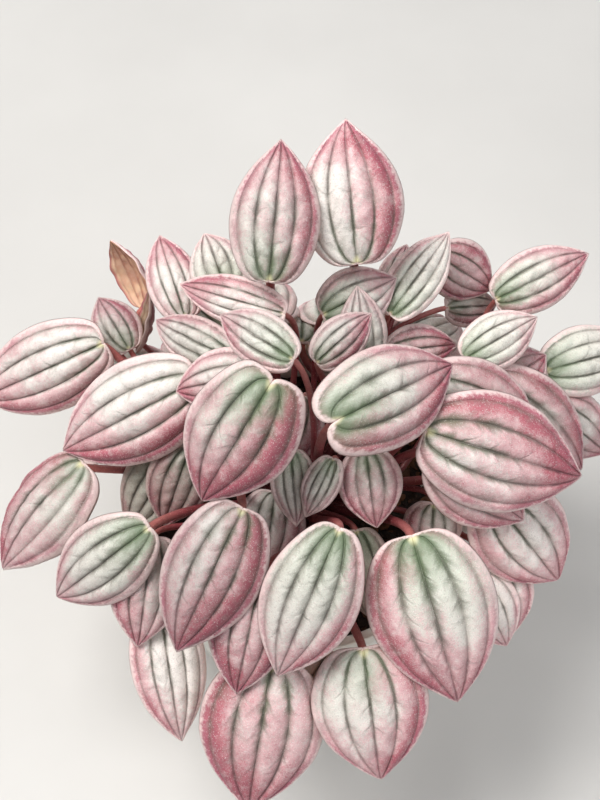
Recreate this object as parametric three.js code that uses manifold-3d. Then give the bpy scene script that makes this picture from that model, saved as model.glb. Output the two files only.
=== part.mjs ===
// A peperomia in a round plastic nursery pot: the pot, its potting soil, a crown with the leaf stalks, and one
// blade for each leaf. Millimetres, +Z up, origin at the middle of the pot's flat underside.
// The leaves lie where a photograph of the plant shows them, seen from the front and above. Two leafy shoots
// fill the side that the photograph doesn't show.
import * as THREE from "three";
import Module from "manifold-3d";

const wasm = await Module();
wasm.setup();

// Pot
const POT_HEIGHT = 105;
const POT_TOP_RADIUS = 60;
const POT_FOOT_RADIUS = 43;
const POT_WALL = 1.6;
const POT_FLOOR = 2.4;
const RIM_BAND_HEIGHT = 13;
const RIM_BAND_STEP = 1.8;
const RIM_LIP = 1.4;
const FOOT_ROUNDING = 2;
const POT_SIDES = 40;
const DRAIN_HOLES = 6;
const DRAIN_RADIUS = 4.5;
const DRAIN_RING_RADIUS = 30;
const DRAIN_SIDES = 12;

// Soil and the crowns that stand in it
const GAP = 0.3;
const SOIL_EDGE_HEIGHT = 94;
const SOIL_SWELL = 2.5;
const SOIL_BUMP = 1.2;
const SOIL_RINGS = [22, 36, 49];
const SOIL_SEED = 11;
const CROWN = { x: 0, y: 0, radius: 13, bottom: 82, top: 106 };
const SHOOT_CROWNS = [
  { x: -27, y: 25, radius: 5, bottom: 84, top: 101 },
  { x: 27, y: 27, radius: 5, bottom: 84, top: 101 },
];
const CROWN_SIDES = 16;
const HOLE_SIDES = 24;

// Leaf stalks
const STALK_RADIUS = 1.35;
const YOUNG_STALK_RADIUS = 0.95;
const STALK_FOOT_SPREAD = 0.3;
const STALK_SIDES = 5;
const STALK_STEPS = 5;
const STALK_CLEARANCE = 0.5;
const STALK_SWINGS = [0, -15, 15, -30, 30, -50, 50, -75, 75];
const STALK_CLIMBS = [1.2, 0.7, 2.2, 0.35, 4];
const STALK_LEANS = [0.3, 0.1, 0.5, 0.62];
const STALK_REACHES = [0.32, 0.15];
const STALK_ARCHES = [4, 40];
const SEAT_PLACE = 0.75;
const SEAT_GAP = 0.35;

// Blades: veins are given as shares of the half-width, and arch, cup and the like as shares of length or width
const BLADE_THICKNESS = 1;
const BLADE_CLEARANCE = 0.5;
const SLIDE_STEP = 0.8;
const MOST_SLIDES = 60;
const LOBE_DEPTH = 0.06;
const LOBE_PLACE = 0.09;
const NOTCH = 0.3;
const BASE_FULLNESS = 0.62;
const TIP_SHARPNESS = 0.85;
const ARCH = 0.09;
const CUP = 0.13;
const TIP_DROP = 0.04;
const RIB_HEIGHT = 0.04;
const VEINS = [0, 0.42, 1];
const BROAD_LEAF = 25;
const ROWS = [0.05, 0.15, 0.35, 0.6, 0.82];
const BROAD_COLUMNS = [-1, -0.7, -0.42, -0.2, 0, 0.2, 0.42, 0.7, 1];
const NARROW_COLUMNS = [-1, -0.5, 0, 0.5, 1];

// The photograph's camera: where it stands, how steeply it looks down, and its focal length in pixels
const PHOTO_CENTRE = [300, 400];
const PHOTO_FOCAL = 1170;
const CAMERA = new THREE.Vector3(1, -200, 468);
const LOOK_DOWN = THREE.MathUtils.degToRad(57);
const RIGHT = new THREE.Vector3(1, 0, 0);
const FORWARD = new THREE.Vector3(0, Math.cos(LOOK_DOWN), -Math.sin(LOOK_DOWN));
const UPWARD = new THREE.Vector3(0, Math.sin(LOOK_DOWN), Math.cos(LOOK_DOWN));

// The photographed leaves, the ones that lie lowest first. Joint and tip are the two ends of the midrib, each as
// [photo x, photo y, height in mm]. Width is in mm, and roll in degrees about the midrib.
const LEAVES = [
  { joint: [491, 560, 112], tip: [513, 636, 92], width: 23 },
  { joint: [472, 575, 106], tip: [507, 646, 88], width: 22 },
  { joint: [159, 600, 104], tip: [180, 741, 72], width: 25 },
  { joint: [330, 650, 106], tip: [292, 706, 88], width: 24 },
  { joint: [152, 537, 118], tip: [139, 644, 92], width: 24 },
  { joint: [356, 530, 125], tip: [370, 618, 105], width: 20 },
  { joint: [276, 492, 126], tip: [262, 575, 108], width: 24 },
  { joint: [178, 452, 130], tip: [128, 530, 108], width: 24 },
  { joint: [190, 448, 138], tip: [163, 527, 116], width: 22 },
  { joint: [84, 463, 130], tip: [-1, 569, 104], width: 32, roll: 36 },
  { joint: [150, 527, 136], tip: [57, 598, 112], width: 27, full: 0.72 },
  { joint: [272, 662, 118], tip: [247, 812, 84], width: 40 },
  { joint: [363, 648, 122], tip: [380, 781, 94], width: 37 },
  { joint: [262, 570, 134], tip: [236, 693, 108], width: 27 },
  { joint: [434, 503, 126], tip: [430, 560, 108], width: 20 },
  { joint: [243, 508, 154], tip: [175, 652, 126], width: 31 },
  { joint: [340, 528, 154], tip: [277, 677, 124], width: 30, full: 0.74 },
  { joint: [412, 535, 152], tip: [460, 705, 116], width: 40, lobes: 0.05 },
  { joint: [492, 498, 138], tip: [559, 583, 108], width: 33 },
  { joint: [435, 455, 148], tip: [523, 520, 126], width: 27 },
  { joint: [366, 450, 148], tip: [376, 529, 132], width: 21 },
  { joint: [291, 450, 146], tip: [297, 527, 134], width: 15, wave: 0.07 },
  { joint: [334, 458, 152], tip: [305, 518, 138], width: 12, wave: 0.07 },
  { joint: [547, 405, 128], tip: [608, 454, 108], width: 24 },
  { joint: [505, 380, 140], tip: [547, 355, 146], width: 18 },
  { joint: [545, 371, 138], tip: [638, 346, 132], width: 25 },
  { joint: [480, 385, 148], tip: [584, 472, 118], width: 34 },
  { joint: [446, 308, 140], tip: [498, 305, 128], width: 15 },
  { joint: [437, 255, 148], tip: [491, 290, 133], width: 22 },
  { joint: [495, 300, 145], tip: [590, 252, 152], width: 22 },
  { joint: [464, 359, 154], tip: [538, 316, 160], width: 19 },
  { joint: [388, 352, 150], tip: [458, 344, 146], width: 17 },
  { joint: [425, 385, 160], tip: [540, 440, 138], width: 32 },
  { joint: [425, 431, 168], tip: [584, 480, 150], width: 37 },
  { joint: [390, 302, 150], tip: [407, 243, 156], width: 14 },
  { joint: [389, 315, 162], tip: [451, 231, 172], width: 18, wave: 0.06 },
  { joint: [322, 315, 164], tip: [397, 278, 168], width: 21 },
  { joint: [366, 366, 158], tip: [358, 285, 176], width: 16 },
  { joint: [357, 264, 185], tip: [343, 118, 215], width: 33 },
  { joint: [269, 282, 188], tip: [283, 138, 214], width: 28 },
  { joint: [146, 308, 118], tip: [112, 238, 146], width: 21, roll: 118 },
  { joint: [137, 348, 122], tip: [151, 286, 146], width: 16, roll: 100 },
  { joint: [130, 350, 124], tip: [98, 297, 132], width: 18 },
  { joint: [186, 318, 150], tip: [158, 234, 160], width: 19 },
  { joint: [228, 292, 160], tip: [205, 232, 168], width: 20 },
  { joint: [236, 362, 162], tip: [153, 320, 154], width: 17 },
  { joint: [285, 314, 174], tip: [177, 284, 168], width: 16 },
  { joint: [104, 343, 136], tip: [-24, 401, 112], width: 32 },
  { joint: [198, 380, 148], tip: [64, 450, 122], width: 34 },
  { joint: [262, 374, 166], tip: [175, 390, 154], width: 21 },
  { joint: [304, 396, 152], tip: [270, 472, 132], width: 22 },
  { joint: [272, 382, 188], tip: [199, 502, 158], width: 34, lobes: 0.12 },
  { joint: [294, 360, 186], tip: [219, 313, 184], width: 17 },
  { joint: [336, 421, 176], tip: [453, 363, 174], width: 31, lobes: 0.17 },
  { joint: [316, 363, 176], tip: [372, 312, 184], width: 15 },
];

// The leaves of the two shoots: [bearing, distance out, height] of the joint, how far the blade points below
// the level, its length and its width. Bearings are in degrees, 90 straight away from the photograph's camera.
const SHOOTS = [
  [
    { at: [163, 63, 112], fall: 34, length: 34, width: 26 },
    { at: [143, 67, 116], fall: 38, length: 42, width: 30 },
    { at: [122, 62, 111], fall: 42, length: 45, width: 32 },
    { at: [101, 63, 117], fall: 38, length: 44, width: 31 },
    { at: [140, 40, 132], fall: 24, length: 30, width: 22 },
    { at: [122, 50, 138], fall: 30, length: 38, width: 27 },
    { at: [104, 42, 148], fall: 24, length: 38, width: 27 },
  ],
  [
    { at: [16, 66, 114], fall: 34, length: 36, width: 27 },
    { at: [36, 68, 116], fall: 32, length: 44, width: 31 },
    { at: [57, 62, 114], fall: 38, length: 46, width: 32 },
    { at: [79, 63, 116], fall: 40, length: 45, width: 31 },
    { at: [46, 54, 134], fall: 28, length: 38, width: 27 },
    { at: [68, 50, 140], fall: 30, length: 41, width: 29 },
    { at: [88, 42, 132], fall: 34, length: 36, width: 26 },
  ],
];

// Colours
const COLOURS = {
  pot: 0xe9e8e2,
  soil: 0x2c2420,
  stems: 0x9c4a44,
  leaf: 0xbf9aa0,
  shoot: 0xa98a8c,
};

// The blade's edge at s, from the joint at 0 round a lobe to the point at 1, as a share of the widest half-width.
// The lobes close in on a notch behind the joint, the deeper the lobes the more.
function outline(leaf, s) {
  const { full = BASE_FULLNESS, lobes = LOBE_DEPTH } = leaf;
  const widest = full / (full + TIP_SHARPNESS);
  const edge = (s / widest) ** full * ((1 - s) / (1 - widest)) ** TIP_SHARPNESS;
  return edge * (1 - Math.exp(-((s / (NOTCH * lobes)) ** 1.5)));
}

const lobe = (s, depth) => depth * (s / LOBE_PLACE) * Math.exp(1 - s / LOBE_PLACE);

// The face between its sunken veins: 0 on a vein and at the edge, 1 on a crest
function crest(across) {
  const a = Math.abs(across);
  const k = VEINS.findLastIndex((vein) => vein <= a);
  if (k === VEINS.length - 1) return 0;
  return Math.sin((Math.PI * (a - VEINS[k])) / (VEINS[k + 1] - VEINS[k]));
}

// The point that the photograph shows at pixel (x, y), at the given height above the table
function seenAt([x, y, height]) {
  const ray = FORWARD.clone()
    .addScaledVector(RIGHT, (x - PHOTO_CENTRE[0]) / PHOTO_FOCAL)
    .addScaledVector(UPWARD, (PHOTO_CENTRE[1] - y) / PHOTO_FOCAL);
  return CAMERA.clone().addScaledVector(ray, (height - CAMERA.z) / ray.z);
}

// A blade's frame: its joint, its midrib's direction, the way its face looks and the way across it
function frameBetween(joint, tip, toward, roll) {
  const along = tip.clone().sub(joint);
  const length = along.length();
  along.normalize();
  const face = toward.clone().addScaledVector(along, -toward.dot(along)).normalize();
  face.applyAxisAngle(along, THREE.MathUtils.degToRad(roll));
  return { joint, along, face, side: along.clone().cross(face), length };
}

function photographedFrame(leaf) {
  const joint = seenAt(leaf.joint);
  const toward = CAMERA.clone().sub(joint);
  return frameBetween(joint, seenAt(leaf.tip), toward, leaf.roll ?? 0);
}

function shootFrame({ at: [bearing, distance, height], fall, length }) {
  const turn = THREE.MathUtils.degToRad(bearing);
  const drop = THREE.MathUtils.degToRad(fall);
  const out = new THREE.Vector3(Math.cos(turn), Math.sin(turn), 0);
  const joint = out.clone().multiplyScalar(distance).setZ(height);
  const along = out.clone().multiplyScalar(Math.cos(drop)).setZ(-Math.sin(drop));
  const up = new THREE.Vector3(0, 0, 1);
  return frameBetween(joint, joint.clone().addScaledVector(along, length), up, 0);
}

// A point of the blade's middle surface: across runs from -1 to 1, s from 0 at the joint to 1 at the tip
function bladePoint(leaf, frame, across, s, lift) {
  const { width, wave = 0, lobes = LOBE_DEPTH } = leaf;
  const { length } = frame;
  const edge = outline(leaf, s);
  const a = Math.abs(across);
  const y = s - a * lobe(s, lobes);
  const rise = 4 * ARCH * length * y * (1 - y);
  const drop = CUP * width * edge ** 2 * a ** 1.7;
  const rib = RIB_HEIGHT * width * edge * crest(across);
  const ripple = wave * width * Math.sin(4 * Math.PI * s + across) * a ** 3;
  const tipDrop = TIP_DROP * length * s ** 4;
  return frame.joint
    .clone()
    .addScaledVector(frame.side, 0.5 * width * across * edge)
    .addScaledVector(frame.along, length * y)
    .addScaledVector(frame.face, rise - drop + rib + ripple - tipDrop + lift);
}

// A blade as points and triangles: two faces, alike triangle for triangle, and a thin edge round them
function bladeMesh(leaf, frame, thickness) {
  const columns = leaf.width >= BROAD_LEAF && !leaf.at ? BROAD_COLUMNS : NARROW_COLUMNS;
  const last = columns.length - 1;
  const points = [];
  for (const lift of [-thickness / 2, thickness / 2]) {
    points.push(bladePoint(leaf, frame, 0, 0, lift));
    for (const s of ROWS) {
      for (const across of columns) {
        points.push(bladePoint(leaf, frame, across, s, lift));
      }
    }
    points.push(bladePoint(leaf, frame, 0, 1, lift));
  }
  const perFace = points.length / 2;
  const at = (row, column) => {
    if (row < 0) return 0;
    if (row >= ROWS.length) return perFace - 1;
    return 1 + row * columns.length + column;
  };
  const triangles = [];
  const addQuad = (a, b, c, d) => {
    if (a !== b) triangles.push([a, b, c]);
    if (c !== d) triangles.push([a, c, d]);
  };
  for (let row = -1; row < ROWS.length; row += 1) {
    for (let column = 0; column < last; column += 1) {
      const [a, b] = [at(row, column), at(row, column + 1)];
      const [c, d] = [at(row + 1, column + 1), at(row + 1, column)];
      const under = triangles.length;
      addQuad(a, b, c, d);
      for (const [p, q, r] of triangles.slice(under)) {
        triangles.push([p + perFace, q + perFace, r + perFace]);
      }
      for (let index = under; index < under + (triangles.length - under) / 2; index += 1) {
        triangles[index].reverse();
      }
    }
    const [left, leftNext] = [at(row, 0), at(row + 1, 0)];
    const [right, rightNext] = [at(row, last), at(row + 1, last)];
    addQuad(left, left + perFace, leftNext + perFace, leftNext);
    addQuad(right, rightNext, rightNext + perFace, right + perFace);
  }
  return { points, triangles };
}

function solid({ points, triangles }) {
  const vertProperties = new Float32Array(points.flatMap((point) => point.toArray()));
  const triVerts = new Uint32Array(triangles.flat());
  return new wasm.Manifold(new wasm.Mesh({ numProp: 3, vertProperties, triVerts }));
}

function boxOf({ points }) {
  return new THREE.Box3().setFromPoints(points);
}

// Whether a shape meets any of the others, each of them a { box, body }
function meets(mesh, others) {
  const box = boxOf(mesh);
  const near = others.filter((other) => other.box.intersectsBox(box));
  if (near.length === 0) return false;
  const body = solid(mesh);
  return near.some((other) => body.intersect(other.body).volume() > 0);
}

// Lay a blade down: it slides in the given direction until it clears the blades that were laid before it
function layDown(leaf, frame, direction, laid) {
  const thick = BLADE_THICKNESS + 2 * BLADE_CLEARANCE;
  let slides = 0;
  while (slides < MOST_SLIDES && meets(bladeMesh(leaf, frame, thick), laid)) {
    frame.joint.addScaledVector(direction, SLIDE_STEP);
    slides += 1;
  }
  const mesh = bladeMesh(leaf, frame, BLADE_THICKNESS);
  const blade = { leaf, frame, mesh, slides, box: boxOf(mesh), body: solid(mesh) };
  laid.push(blade);
  return blade;
}

// A stalk as a closed tube round a curve; its last ring lies flat against the blade
function tubeMesh(curve, radius, endFace) {
  const points = [];
  const triangles = [];
  const normal = new THREE.Vector3(0.31, 0.95, 0.05);
  for (let step = 0; step <= STALK_STEPS; step += 1) {
    const t = step / STALK_STEPS;
    const centre = curve.getPoint(t);
    const tangent = curve.getTangent(t).normalize();
    normal.addScaledVector(tangent, -normal.dot(tangent)).normalize();
    const binormal = tangent.clone().cross(normal);
    const size = radius * (1 + STALK_FOOT_SPREAD * (1 - t));
    for (let side = 0; side < STALK_SIDES; side += 1) {
      const angle = (2 * Math.PI * side) / STALK_SIDES;
      const point = centre
        .clone()
        .addScaledVector(normal, size * Math.cos(angle))
        .addScaledVector(binormal, size * Math.sin(angle));
      if (step === STALK_STEPS) {
        const over = point.clone().sub(centre).dot(endFace) / tangent.dot(endFace);
        point.addScaledVector(tangent, -over);
      }
      points.push(point);
    }
  }
  const start = points.length;
  const top = STALK_STEPS * STALK_SIDES;
  points.push(curve.getPoint(0), curve.getPoint(1));
  for (let side = 0; side < STALK_SIDES; side += 1) {
    const next = (side + 1) % STALK_SIDES;
    triangles.push([start, next, side], [start + 1, top + side, top + next]);
    for (let step = 0; step < STALK_STEPS; step += 1) {
      const ring = step * STALK_SIDES;
      triangles.push([ring + side, ring + next, ring + next + STALK_SIDES]);
      triangles.push([ring + side, ring + next + STALK_SIDES, ring + side + STALK_SIDES]);
    }
  }
  return { points, triangles };
}

// Where a stalk meets the underside of its blade, and which way the blade faces there
function seatOf(leaf, frame, gap) {
  const base = bladePoint(leaf, frame, 0, 0, 0);
  const ahead = bladePoint(leaf, frame, 0, ROWS[0], 0).sub(base);
  const face = frame.side.clone().cross(ahead).normalize();
  const point = base.addScaledVector(ahead, SEAT_PLACE).addScaledVector(face, -gap);
  return { point, face };
}

// The ways a stalk may bend between its crown and its blade, the straightest first
function* stalkCurves(seat, frame, crown) {
  const root = new THREE.Vector3(crown.x, crown.y, crown.bottom + 0.65 * (crown.top - crown.bottom));
  const bearing = Math.atan2(seat.point.y - root.y, seat.point.x - root.x);
  const span = seat.point.distanceTo(root);
  const bends = STALK_LEANS.flatMap((lean) =>
    STALK_REACHES.flatMap((reach) =>
      STALK_SWINGS.flatMap((swing) => STALK_CLIMBS.map((climb) => ({ reach, swing, climb, lean }))),
    ),
  );
  for (const { reach, swing, climb, lean } of bends) {
    const arrive = seat.face.clone().multiplyScalar(1 - lean).addScaledVector(frame.along, lean).normalize();
    const turn = bearing + THREE.MathUtils.degToRad(swing);
    const out = new THREE.Vector3(Math.cos(turn), Math.sin(turn), 0);
    const start = root.clone().addScaledVector(out, crown.radius / 2);
    const rising = out.clone().setZ(climb).normalize();
    yield new THREE.CubicBezierCurve3(
      start,
      start.clone().addScaledVector(rising, 0.45 * span),
      seat.point.clone().addScaledVector(arrive, -reach * span),
      seat.point,
    );
  }
}

// A leaf's stalk takes the first bend that clears every other blade, and its own too where a gap is kept. It
// arches over its seat only as far as it must.
function growStalk(blade, crown, gap, laid) {
  const { leaf, frame } = blade;
  const radius = leaf.width >= BROAD_LEAF ? STALK_RADIUS : YOUNG_STALK_RADIUS;
  const seat = seatOf(leaf, frame, gap);
  const others = laid.filter((other) => other !== blade);
  for (const arch of STALK_ARCHES) {
    for (const curve of stalkCurves(seat, frame, crown)) {
      if (boxOf({ points: curve.getPoints(STALK_STEPS) }).max.z > seat.point.z + arch) continue;
      const stalk = tubeMesh(curve, radius, seat.face);
      if (gap > 0 && meets(stalk, [blade])) continue;
      if (!meets(tubeMesh(curve, radius + STALK_CLEARANCE, seat.face), others)) return stalk;
    }
  }
  throw new Error(`no bend clears the blades for the leaf at ${frame.joint.toArray()}`);
}

// A shape turned about the z axis, from a closed profile of [radius, height] that starts and ends on the axis
function turned(profile, sides, x, y, shift) {
  const rings = profile.length - 2;
  const points = [new THREE.Vector3(x, y, profile[0][1])];
  for (let ring = 1; ring <= rings; ring += 1) {
    for (let side = 0; side < sides; side += 1) {
      const angle = (2 * Math.PI * side) / sides;
      const [radius, height] = profile[ring];
      const lift = shift ? shift(ring, side) : 0;
      points.push(new THREE.Vector3(x + radius * Math.cos(angle), y + radius * Math.sin(angle), height + lift));
    }
  }
  points.push(new THREE.Vector3(x, y, profile[rings + 1][1]));
  const triangles = [];
  for (let side = 0; side < sides; side += 1) {
    const next = (side + 1) % sides;
    triangles.push([0, 1 + next, 1 + side]);
    for (let ring = 0; ring < rings - 1; ring += 1) {
      const [a, b] = [1 + ring * sides + side, 1 + ring * sides + next];
      triangles.push([a, b, b + sides], [a, b + sides, a + sides]);
    }
    const top = 1 + (rings - 1) * sides;
    triangles.push([top + side, top + next, points.length - 1]);
  }
  return solid({ points, triangles });
}

const cylinder = (radius, bottom, top, sides, x, y) =>
  turned([[0, bottom], [radius, bottom], [radius, top], [0, top]], sides, x, y);

const potSlope = (POT_TOP_RADIUS - RIM_BAND_STEP - POT_FOOT_RADIUS) / (POT_HEIGHT - RIM_BAND_HEIGHT);
const potRadiusAt = (height) => POT_FOOT_RADIUS + potSlope * height;

function makePot() {
  const band = POT_HEIGHT - RIM_BAND_HEIGHT;
  const inner = (height) => potRadiusAt(height) - POT_WALL;
  const bandInner = POT_TOP_RADIUS - POT_WALL;
  const profile = [
    [0, 0],
    [POT_FOOT_RADIUS - FOOT_ROUNDING, 0],
    [potRadiusAt(FOOT_ROUNDING), FOOT_ROUNDING],
    [potRadiusAt(band), band],
    [POT_TOP_RADIUS, band + RIM_BAND_STEP],
    [POT_TOP_RADIUS, POT_HEIGHT - 2 * RIM_LIP],
    [POT_TOP_RADIUS + RIM_LIP, POT_HEIGHT - 1.5 * RIM_LIP],
    [POT_TOP_RADIUS + RIM_LIP, POT_HEIGHT - 0.4 * RIM_LIP],
    [POT_TOP_RADIUS + 0.6 * RIM_LIP, POT_HEIGHT],
    [bandInner, POT_HEIGHT],
    [bandInner, band + RIM_BAND_STEP],
    [inner(band), band],
    [inner(POT_FLOOR), POT_FLOOR],
    [0, POT_FLOOR],
  ];
  let pot = turned(profile, POT_SIDES, 0, 0);
  for (let hole = 0; hole < DRAIN_HOLES; hole += 1) {
    const angle = (2 * Math.PI * (hole + 0.5)) / DRAIN_HOLES;
    const [x, y] = [DRAIN_RING_RADIUS * Math.cos(angle), DRAIN_RING_RADIUS * Math.sin(angle)];
    pot = pot.subtract(cylinder(DRAIN_RADIUS, -1, POT_FLOOR + 1, DRAIN_SIDES, x, y));
  }
  return pot;
}

function seededDraws(seed) {
  let state = seed;
  return () => {
    state = (state * 1664525 + 1013904223) % 4294967296;
    return state / 4294967296;
  };
}

function makeSoil() {
  const draw = seededDraws(SOIL_SEED);
  const band = POT_HEIGHT - RIM_BAND_HEIGHT;
  const bottom = POT_FLOOR + GAP;
  const wall = (height) => potRadiusAt(height) - POT_WALL - GAP;
  const edge = wall(band);
  const swell = (radius) => SOIL_EDGE_HEIGHT - 3 + SOIL_SWELL * (1 - (radius / edge) ** 2);
  const top = [...SOIL_RINGS].reverse().map((radius) => [radius, swell(radius)]);
  const profile = [[0, bottom], [wall(bottom), bottom], [edge, swell(edge)], ...top, [0, swell(0)]];
  const bumps = (ring) => (ring > 2 ? SOIL_BUMP * (draw() - 0.5) : 0);
  let soil = turned(profile, POT_SIDES, 0, 0, bumps);
  for (const { x, y, radius, bottom: hole } of [CROWN, ...SHOOT_CROWNS]) {
    soil = soil.subtract(cylinder(radius + GAP, hole - GAP, POT_HEIGHT, HOLE_SIDES, x, y));
  }
  return soil;
}

function makeCrown({ x, y, radius, bottom, top }) {
  const level = (share) => bottom + share * (top - bottom);
  const profile = [
    [0, bottom],
    [radius, bottom],
    [radius, level(0.6)],
    [0.85 * radius, level(0.85)],
    [0.45 * radius, top],
    [0, top],
  ];
  return turned(profile, CROWN_SIDES, x, y);
}

function toMesh(body, name, colour) {
  const { numProp, vertProperties, triVerts } = body.getMesh();
  const positions = new Float32Array((vertProperties.length / numProp) * 3);
  for (let index = 0; index < positions.length / 3; index += 1) {
    positions.set(vertProperties.subarray(index * numProp, index * numProp + 3), index * 3);
  }
  const geometry = new THREE.BufferGeometry();
  geometry.setAttribute("position", new THREE.BufferAttribute(positions, 3));
  geometry.setIndex(new THREE.BufferAttribute(triVerts, 1));
  geometry.computeVertexNormals();
  const mesh = new THREE.Mesh(geometry, new THREE.MeshStandardMaterial({ color: colour }));
  mesh.name = name;
  return mesh;
}

const towardCamera = (frame) => CAMERA.clone().sub(frame.joint).normalize();
const boxOfBody = ({ min, max }) => new THREE.Box3(new THREE.Vector3(...min), new THREE.Vector3(...max));
const pot = makePot();
const soil = makeSoil();
const laid = [{ box: boxOfBody(pot.boundingBox()), body: pot }];
const blades = LEAVES.map((leaf) => {
  const frame = photographedFrame(leaf);
  return layDown(leaf, frame, towardCamera(frame), laid);
});
const shoots = SHOOTS.map((leaves) =>
  leaves.map((leaf) => {
    const frame = shootFrame(leaf);
    return layDown(leaf, frame, towardCamera(frame).negate(), laid);
  }),
);

const seatDepth = BLADE_THICKNESS / 2 + SEAT_GAP;
const stalks = blades.map((blade) => solid(growStalk(blade, CROWN, seatDepth, laid)));
const stems = wasm.Manifold.union([makeCrown(CROWN), ...stalks]);

const plant = new THREE.Group();
plant.name = "potted_peperomia";
plant.add(toMesh(pot, "pot", COLOURS.pot));
plant.add(toMesh(soil, "soil", COLOURS.soil));
plant.add(toMesh(stems, "stems", COLOURS.stems));
for (const [index, blade] of blades.entries()) {
  plant.add(toMesh(blade.body, `leaf_${String(index + 1).padStart(2, "0")}`, COLOURS.leaf));
}
for (const [index, shoot] of shoots.entries()) {
  const crown = SHOOT_CROWNS[index];
  const bodies = shoot.flatMap((blade) => [blade.body, solid(growStalk(blade, crown, 0, laid))]);
  const body = wasm.Manifold.union([makeCrown(crown), ...bodies]);
  plant.add(toMesh(body, `shoot_${index + 1}`, COLOURS.shoot));
}

export default plant;
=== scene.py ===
"""A potted peperomia: ribbed silver-pink blades on fleshy red stalks, over soil in a round nursery pot.

The blades and stalks repeat the frame's own rules in millimetres, with a finer mesh, and each of them finds
in the frame where it was laid. Joints and tips of the photographed leaves are given as (photo x, photo y,
height in mm).
"""

import math

import bmesh
import bpy
import numpy as np
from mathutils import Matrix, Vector, bvhtree, kdtree, noise


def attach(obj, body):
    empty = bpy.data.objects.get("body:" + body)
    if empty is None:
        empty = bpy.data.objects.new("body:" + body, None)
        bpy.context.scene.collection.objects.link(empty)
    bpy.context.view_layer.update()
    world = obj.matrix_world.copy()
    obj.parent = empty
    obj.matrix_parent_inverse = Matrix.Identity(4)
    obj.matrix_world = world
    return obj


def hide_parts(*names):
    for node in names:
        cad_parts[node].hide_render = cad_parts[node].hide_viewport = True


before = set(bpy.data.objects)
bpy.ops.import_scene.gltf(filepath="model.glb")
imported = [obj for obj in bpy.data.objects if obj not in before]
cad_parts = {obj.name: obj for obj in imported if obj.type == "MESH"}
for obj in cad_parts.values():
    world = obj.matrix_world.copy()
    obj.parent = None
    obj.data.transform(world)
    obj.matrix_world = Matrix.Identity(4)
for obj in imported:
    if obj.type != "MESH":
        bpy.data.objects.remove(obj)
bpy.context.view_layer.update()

MM = 0.001

# A rounded corner takes no more of a side than its length divided by this
ROUNDING_LIMIT = 2.2

# The photograph's camera
PHOTO_SIZE = (600, 800)
PHOTO_FOCAL = 1170
CAMERA = np.array([1.0, -200.0, 468.0])
LOOK_DOWN = math.radians(57)
RIGHT = np.array([1.0, 0.0, 0.0])
FORWARD = np.array([0.0, math.cos(LOOK_DOWN), -math.sin(LOOK_DOWN)])
UPWARD = np.array([0.0, math.sin(LOOK_DOWN), math.cos(LOOK_DOWN)])

# Pot
POT_HEIGHT = 105
POT_TOP_RADIUS = 60
POT_FOOT_RADIUS = 43
POT_WALL = 1.6
POT_FLOOR = 2.4
RIM_BAND_HEIGHT = 13
RIM_BAND_STEP = 1.8
RIM_LIP = 1.4
POT_SIDES = 128
DRAIN_HOLES = 6
DRAIN_RADIUS = 4.5
DRAIN_RING_RADIUS = 30
DRAIN_SIDES = 32
FOOT_RAISE = 0.8
FOOT_RING_WIDTH = 6
POT_ROUNDING = 1
SHARP_ANGLE = math.radians(40)

# Soil: its lumps as (height, waves per mm), and the sizes and kinds of its crumbs with their shares
GAP = 0.3
SOIL_EDGE_HEIGHT = 91
SOIL_SWELL = 2.5
SOIL_SIDES = 160
SOIL_RINGS = 64
SOIL_LUMPS = [(1.1, 0.16), (0.8, 0.45), (0.5, 1)]
EARTH = 0.2
BARK = 0.55
WHITE = 1.0
CRUMBS = 900
CRUMB_SEED = 5
CRUMB_SIZES = {1.0: 0.6, 1.5: 0.3, 2.4: 0.1}
CRUMB_KINDS = {EARTH: 0.5, BARK: 0.36, WHITE: 0.14}
CRUMB_MARGIN = 2.5
CRUMB_ROUGHNESS = 0.15
CRUMB_RISE = 0.3
CRUMB_FLATNESS = 0.6
BARK_STRETCH = 1.5

# Crowns in the soil; their profile is given as shares of the radius and of the rise
CROWN = dict(x=0, y=0, radius=13, bottom=82, top=106)
SHOOT_CROWNS = [
    dict(x=-27, y=25, radius=5, bottom=84, top=101),
    dict(x=27, y=27, radius=5, bottom=84, top=101),
]
CROWN_PROFILE = [(1, 0), (1, 0.6), (0.85, 0.85), (0.45, 1)]
CROWN_ROUNDING = 2.5
CROWN_STEP = 1.2
CROWN_INSET = 0.05
CROWN_SIDES = 64
KNOB_HEIGHT = 0.09
KNOBS = [(1, 0.28), (0.5, 0.7)]

# Leaf stalks
STALK_RADIUS = 1.35
YOUNG_STALK_RADIUS = 0.95
STALK_FOOT_SPREAD = 0.3
STALK_SWINGS = [0, -15, 15, -30, 30, -50, 50, -75, 75]
STALK_CLIMBS = [1.2, 0.7, 2.2, 0.35, 4]
STALK_LEANS = [0.3, 0.1, 0.5, 0.62]
STALK_REACHES = [0.32, 0.15]
STALK_ROOT = 0.65
STALK_START = 0.45
STALK_SINK = 0.2
STALK_NORMAL = [0.31, 0.95, 0.05]
SEAT_PLACE = 0.75
SEAT_GAP = 0.35
SEAT_ROW = 0.05
STALK_SIDES = 12
STALK_STEPS = 20
FRAME_STALK_SIDES = 5
FRAME_STALK_STEPS = 5
COMPARED_RINGS = slice(2, 5)

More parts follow.
